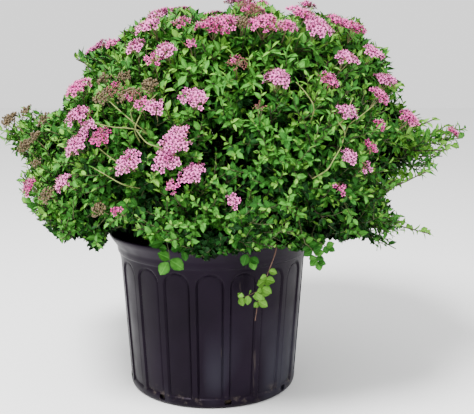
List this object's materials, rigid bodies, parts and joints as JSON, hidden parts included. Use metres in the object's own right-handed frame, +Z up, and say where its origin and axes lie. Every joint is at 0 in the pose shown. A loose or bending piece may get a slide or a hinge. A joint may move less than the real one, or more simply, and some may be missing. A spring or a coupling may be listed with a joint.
{
  "type": "spirea shrub in a nursery pot",
  "caption": "A rounded, flowering spirea shrub with pink flower heads, built together with its black ribbed nursery pot.",
  "frame": {"origin": "centre of the flat underside of the pot", "axes": "+Z up, -Y towards the viewer of the picture, +X to the viewer's right"},
  "size_m": [0.6129, 0.5144, 0.5183],
  "materials": {
    "pot_plastic": "satin",
    "potting_mix": "matte",
    "bark": "matte",
    "foliage": "satin",
    "blossom": "matte"
  },
  "bodies": {
    "root": {"pot": "pot_plastic", "potting_mix": "potting_mix", "root_crown": "bark", "skirt_bough_1": "bark", "skirt_bough_2": "bark", "skirt_bough_3": "bark", "skirt_bough_4": "bark", "skirt_bough_5": "bark", "skirt_bough_6": "bark", "side_bough_1": "bark", "side_bough_2": "bark", "side_bough_3": "bark", "side_bough_4": "bark", "side_bough_5": "bark", "side_bough_6": "bark", "shoulder_bough_1": "bark", "shoulder_bough_2": "bark", "shoulder_bough_3": "bark", "shoulder_bough_4": "bark", "top_bough": "bark", "trailing_bough": "bark", "skirt_foliage_1": "foliage", "skirt_foliage_2": "foliage", "skirt_foliage_3": "foliage", "skirt_foliage_4": "foliage", "skirt_foliage_5": "foliage", "skirt_foliage_6": "foliage", "side_foliage_1": "foliage", "side_foliage_2": "foliage", "side_foliage_3": "foliage", "side_foliage_4": "foliage", "side_foliage_5": "foliage", "side_foliage_6": "foliage", "shoulder_foliage_1": "foliage", "shoulder_foliage_2": "foliage", "shoulder_foliage_3": "foliage", "shoulder_foliage_4": "foliage", "top_foliage": "foliage", "trailing_shoot": "foliage"}
  },
  "joints": []
}
